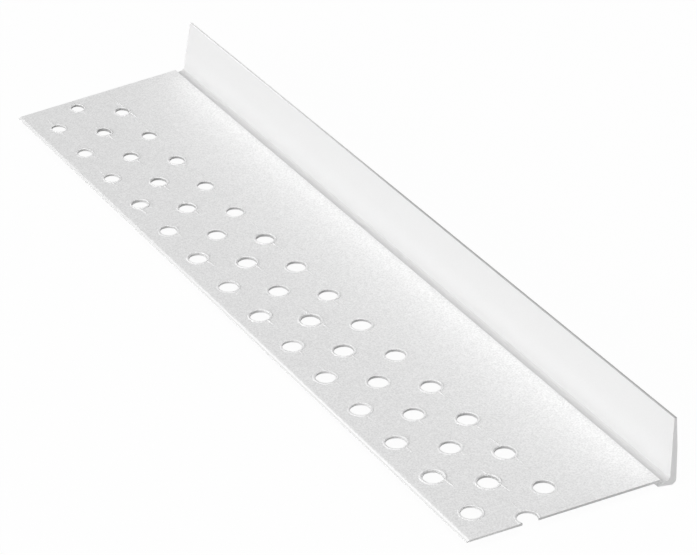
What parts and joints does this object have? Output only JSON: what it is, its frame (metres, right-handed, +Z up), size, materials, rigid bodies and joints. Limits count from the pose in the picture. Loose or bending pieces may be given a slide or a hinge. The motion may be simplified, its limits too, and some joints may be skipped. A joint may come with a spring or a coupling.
{
  "type": "l-trim",
  "caption": "Perforated L-shaped plastic board trim: a thin punched flange with a short plain wall along one side and a rounded nose outside the corner.",
  "frame": {"origin": "centre of the bounding box in plan, at the level of the nose's lowest line", "axes": "+X across the flange towards the wall, +Y along the sample towards the raked far end, +Z up, the way the wall stands"},
  "size_m": [0.0328, 0.1398, 0.011],
  "materials": {
    "white_pvc": "matte extruded rigid PVC, white"
  },
  "bodies": {
    "root": {"l_trim": "white_pvc"}
  },
  "joints": []
}
